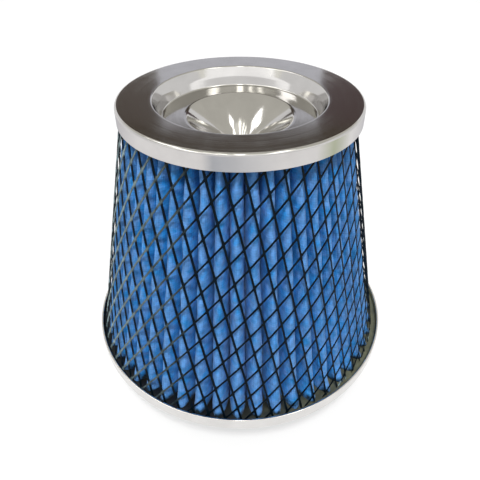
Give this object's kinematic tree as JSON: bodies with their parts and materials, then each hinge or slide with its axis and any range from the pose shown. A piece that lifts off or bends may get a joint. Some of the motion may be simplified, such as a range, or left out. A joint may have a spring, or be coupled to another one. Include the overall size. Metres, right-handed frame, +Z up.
{
  "type": "cone air filter",
  "caption": "Cone air filter: pleated blue cotton between spun aluminium end caps, wrapped in black expanded metal, with a funnel in the top cap and a rubber inlet neck below.",
  "frame": {"origin": "centre of the inlet neck's lower end, which the filter stands on", "axes": "+Z up along the filter's axis, from the inlet neck to the top cap; the pictured front faces -Y and +X is to its right"},
  "size_m": [0.155, 0.155, 0.1452],
  "materials": {
    "spun_aluminium": "spun sheet, polished bright",
    "potting_resin": "cast polyurethane, dark and slightly glossy",
    "oiled_cotton": "pleated cotton gauze, dyed blue and oiled",
    "coated_mesh": "expanded metal, thin black coating, bare at the cut ends",
    "moulded_rubber": "moulded black rubber, matte"
  },
  "bodies": {
    "root": {"top_cap": "spun_aluminium", "top_potting": "potting_resin", "pleated_media": "oiled_cotton", "outer_guard": "coated_mesh", "base_cap": "spun_aluminium", "base_potting": "potting_resin", "inlet_neck": "moulded_rubber"}
  },
  "joints": []
}
